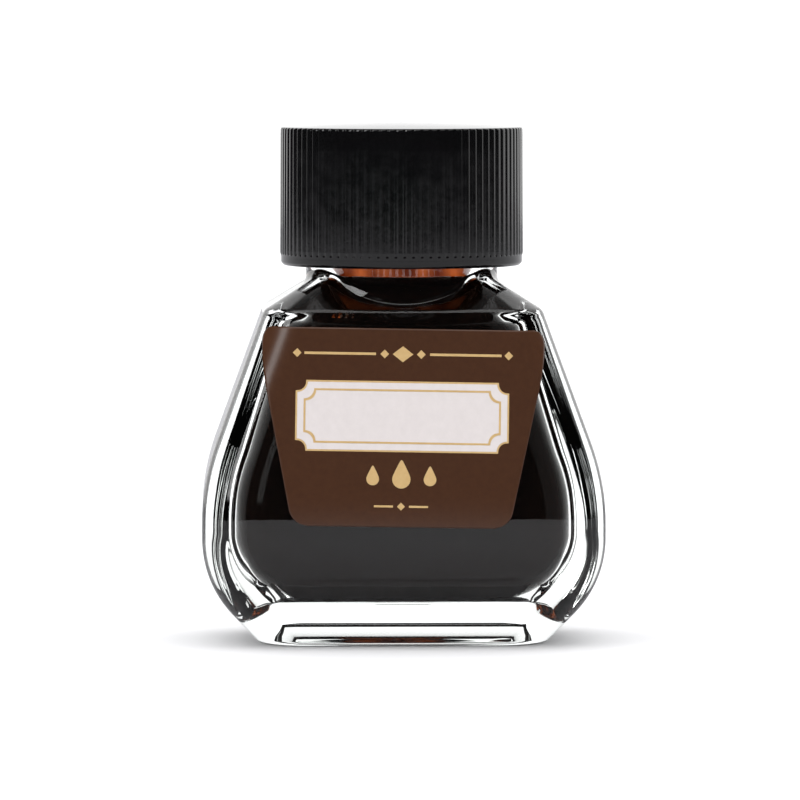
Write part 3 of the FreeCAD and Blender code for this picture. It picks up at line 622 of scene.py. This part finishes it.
def foam_material():
    """White closed-cell polyethylene foam: fine cells, matt; ink has soaked into the middle of
    the underside in an uneven patch."""
    material, tree, out = new_material("polyethylene foam")
    place = node(tree, "TexCoord").outputs["Object"]
    cells = node(tree, "TexVoronoi", Vector=place, Scale=2200.0)
    blot = node(tree, "TexNoise", Vector=place, Scale=220.0, Detail=4.0, Roughness=0.6)
    spot = node(tree, "SeparateXYZ", Vector=place)
    reach = node(tree, "VectorMath", {"operation": "LENGTH"}, i0=node(
        tree, "CombineXYZ", X=spot.outputs["X"], Y=spot.outputs["Y"]).outputs[0])
    spread = node(tree, "Math", {"operation": "MULTIPLY_ADD"}, i0=blot.outputs["Fac"], i1=-0.004,
                  i2=0.0095)
    inside = node(tree, "Math", {"operation": "LESS_THAN"}, i0=reach.outputs["Value"],
                  i1=spread.outputs[0])
    under = node(tree, "Math", {"operation": "LESS_THAN"}, i0=spot.outputs["Z"], i1=0.0623)
    stain = node(tree, "Math", {"operation": "MULTIPLY"}, i0=inside.outputs[0],
                 i1=under.outputs[0])
    tone = node(tree, "Mix", {"data_type": "RGBA"}, Factor=stain.outputs[0],
                i6=linear("ECEAE4"), i7=linear("2A1610"))
    bump = node(tree, "Bump", Strength=0.4, Distance=0.00005, Height=cells.outputs["Distance"])
    body = node(tree, "BsdfPrincipled", Base_Color=tone.outputs[2], Roughness=0.8,
                Normal=bump.outputs["Normal"])
    tree.links.new(body.outputs[0], out.inputs["Surface"])
    return material


cap_foam.data.materials.append(foam_material())
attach(cap_foam, "liner")
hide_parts("cap_liner")

# =====================================================================================
# SCREW CAP
# A black gloss moulding: 88 fine upright ribs for grip, a plain band under them, a slightly
# domed top, and inside the skirt the thread that matches the neck's.
# =====================================================================================
RIBS = 88
cap_turn = np.linspace(0, 2 * math.pi, RIBS * 9, endpoint=False)[None, :]
inside_z = np.arange(62.7, 48.7, -0.25)
dome = [[14.5 * math.sqrt(1 - k), 66.1 - 0.55 * (1 - k)] for k in (0.15, 0.35, 0.55, 0.75, 0.9)]
cap_profile = np.concatenate([
    rounded_run([[0.1, 63.2], [13.5, 63.2], [13.5, 62.8]], [0.3], 4),
    np.stack([np.full_like(inside_z, 13.5), inside_z], axis=1),
    rounded_run([[13.5, 48.5], [13.5, 48.3], [13.9, 47.9], [14.98, 47.9], [15.38, 48.3],
                 [15.38, 48.9]], [0.08, 0.15, 0.18, 0.18], 4),
    refine(np.array([[15.38, 49.0], [15.39, 49.12], [15.48, 49.45], [15.5, 49.6]]), 0.07),
    refine(np.array([[15.5, 49.9], [15.44, 64.7]]), 2.4),
    rounded_run([[15.43, 64.8], [15.42, 65.5], [14.45, 65.55]], [0.62], 9),
    np.array(dome)])
cap_r = cap_profile[:, 0, None] + 0 * cap_turn
cap_z = cap_profile[:, 1, None] + 0 * cap_turn
phase = np.abs(np.mod(cap_turn * RIBS / (2 * math.pi), 1) - 0.5) * 2
groove = ramp(phase, 0.42, 0.95)
outside = np.arange(len(cap_profile))[:, None] > len(inside_z) + 18
rib_reach = ramp(cap_z, 49.2, 49.5) * (1 - ramp(cap_z, 65.35, 65.5)) * (cap_r > 14.4) * outside
cap_r = cap_r - 0.13 * groove * rib_reach
inner_ridge = helix_ridge(cap_z, cap_turn, 51.55, 4.2, 1.5, 1.7, 0.7)
cap_r = np.where(np.abs(cap_r - 13.5) < 0.001, cap_r - inner_ridge, cap_r)
cap_rings = np.stack([cap_r * np.cos(cap_turn), cap_r * np.sin(cap_turn), cap_z], axis=2)
cap_moulding = ring_mesh("cap_moulding", cap_rings, [0, 0, 63.2], [0, 0, 66.1])


def cap_material():
    """Black moulded plastic, polished by the mould, with hair scratches and light dust."""
    material, tree, out = new_material("black moulded plastic")
    place = node(tree, "TexCoord").outputs["Object"]
    wear = node(tree, "TexNoise", Vector=place, Scale=420.0, Detail=5.0, Roughness=0.65)
    rough = node(tree, "MapRange", Value=wear.outputs["Fac"], From_Min=0.35, From_Max=0.75,
                 To_Min=0.05, To_Max=0.12)
    tone = node(tree, "Mix", {"data_type": "RGBA"}, Factor=wear.outputs["Fac"],
                i6=linear("070708"), i7=linear("0C0C0D"))
    bump = node(tree, "Bump", Strength=0.12, Distance=0.00003, Height=wear.outputs["Fac"])
    body = node(tree, "BsdfPrincipled", Base_Color=tone.outputs[2], IOR=1.5,
                Roughness=rough.outputs["Result"], Normal=bump.outputs["Normal"])
    tree.links.new(body.outputs[0], out.inputs["Surface"])
    return material


cap_moulding.data.materials.append(cap_material())
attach(cap_moulding, "cap")
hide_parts("screw_cap")

# =====================================================================================
# FLOOR, LIGHT AND CAMERA
# A white table lit from overhead so that it burns out, a white sheet behind, a dark room in
# front with one tall soft light high on the left, and a long lens almost level with the cap.
# =====================================================================================
floor_mesh = bpy.data.meshes.new("table")
reach = 1.6
level = -0.00003  # just clear of the bottle, so the two faces never lie in one plane
floor_mesh.from_pydata([(-reach, -reach, level), (reach, -reach, level), (reach, reach, level),
                        (-reach, reach, level)], [], [(0, 1, 2, 3)])
table = bpy.data.objects.new("table", floor_mesh)
bpy.context.scene.collection.objects.link(table)


def table_material():
    """Matt white; to light that scatters on towards the bottle it answers darker, a painted shade
    in its reflections in the glass and in the light it bounces on to the bottle, and seen through
    the glass it shows a painted glow in place of the light that the bottle gathers on it."""
    material, tree, out = new_material("matt white table")
    ray = node(tree, "LightPath")
    # painted shade: the table is darker to rays that bounce or reflect from it towards the bottle
    painted_shade_for_bounces = node(tree, "Math", {"operation": "MAXIMUM"}, i0=ray.outputs["Is Diffuse Ray"],
                  i1=ray.outputs["Is Glossy Ray"])
    tone = node(tree, "Mix", {"data_type": "RGBA"}, Factor=painted_shade_for_bounces.outputs[0],
                i6=(0.88, 0.88, 0.89, 1), i7=(0.32, 0.32, 0.33, 1))
    tone = node(tree, "Mix", {"data_type": "RGBA"}, Factor=ray.outputs["Is Camera Ray"],
                i6=tone.outputs[2], i7=(0.60, 0.60, 0.61, 1))
    body = node(tree, "BsdfDiffuse", Color=tone.outputs[2])
    # painted light: the table glows where it is seen through the glass, standing in for the light
    # the bottle focuses on it
    painted_glow_under_glass = node(tree, "Math", {"operation": "MULTIPLY"}, i1=0.9,
                    i0=ray.outputs["Is Transmission Ray"])
    glow = node(tree, "Emission", Color=(1, 1, 1, 1), Strength=painted_glow_under_glass.outputs[0])
    both = node(tree, "AddShader", i0=body.outputs[0], i1=glow.outputs[0])
    tree.links.new(both.outputs[0], out.inputs["Surface"])
    return material


floor_mesh.materials.append(table_material())

world = bpy.data.worlds.new("studio")
bpy.context.scene.world = world
world.use_nodes = True
sky = world.node_tree
sky.nodes.clear()
way = node(sky, "TexCoord").outputs["Generated"]
parts = node(sky, "SeparateXYZ", Vector=way)
dx, dy, dz = (parts.outputs[k] for k in "XYZ")


def math_node(kind, *values):
    """Result of one arithmetic node in the world's tree."""
    return node(sky, "Math", {"operation": kind},
                **{"i%d" % k: v for k, v in enumerate(values)}).outputs[0]


def smooth_step(value, low, high):
    """Smooth rise from 0 to 1 between low and high, as a node."""
    made = node(sky, "MapRange", {"interpolation_type": "SMOOTHSTEP"}, Value=value,
                From_Min=low, From_Max=high, To_Min=0.0, To_Max=1.0)
    return made.outputs["Result"]


def window(value, low, high, soft):
    """1 between low and high, 0 outside, with soft edges."""
    return math_node("MULTIPLY", smooth_step(value, low - soft, low + soft),
                     math_node("SUBTRACT", 1.0, smooth_step(value, high - soft, high + soft)))


turn_left = math_node("ARCTAN2", math_node("MULTIPLY", dx, -1.0),
                      math_node("MULTIPLY", dy, -1.0))
climb = math_node("ARCSINE", dz)
sheet = smooth_step(math_node("MULTIPLY_ADD", dx, 0.24, dy), 0.42, 0.54)
overhead = math_node("MULTIPLY", smooth_step(dz, 0.72, 0.82),
                     math_node("SUBTRACT", 1.0, smooth_step(dy, -0.1, 0.15)))
left_box = math_node("MULTIPLY", window(turn_left, 0.66, 0.98, 0.012),
                     window(climb, 0.22, 0.95, 0.05))
ray = node(sky, "LightPath")
beside = smooth_step(math_node("MULTIPLY_ADD", dx, 0.6, dy), -0.60, -0.35)
through = ray.outputs["Is Transmission Ray"]
white = math_node("MAXIMUM", sheet, math_node("MULTIPLY", beside, through))
studio = math_node("ADD", math_node("MULTIPLY", white, 1.25), 0.02)
studio = math_node("MAXIMUM", studio, math_node("MULTIPLY", overhead, 1.6))
studio = math_node("ADD", studio, math_node("MULTIPLY", left_box, 5.0))
dome_light = math_node("ADD", 0.55, math_node("MULTIPLY", math_node("MAXIMUM", dz, 0.0), 2.5))
seen = node(sky, "Mix", Factor=ray.outputs["Is Diffuse Ray"], i2=studio, i3=dome_light)
seen = node(sky, "Mix", Factor=ray.outputs["Is Camera Ray"], i2=seen.outputs[0], i3=1.2)
glow = node(sky, "Background", Color=(1, 1, 1, 1), Strength=seen.outputs[0])
sky_out = node(sky, "OutputWorld")
sky.links.new(glow.outputs[0], sky_out.inputs["Surface"])

lens_data = bpy.data.cameras.new("camera")
camera = bpy.data.objects.new("camera", lens_data)
bpy.context.scene.collection.objects.link(camera)
bpy.context.scene.camera = camera
away = 0.900
yaw = math.radians(-1.5)
lens_data.sensor_width = 36.0
lens_data.lens = 317.5
lens_data.clip_end = 20.0
lens_data.shift_x = -0.0019
camera.location = (away * math.sin(yaw), -away * math.cos(yaw), 0.0825)
camera.rotation_euler = (math.radians(90 - 3.30), 0, yaw)
bpy.context.scene.view_settings.view_transform = "Standard"
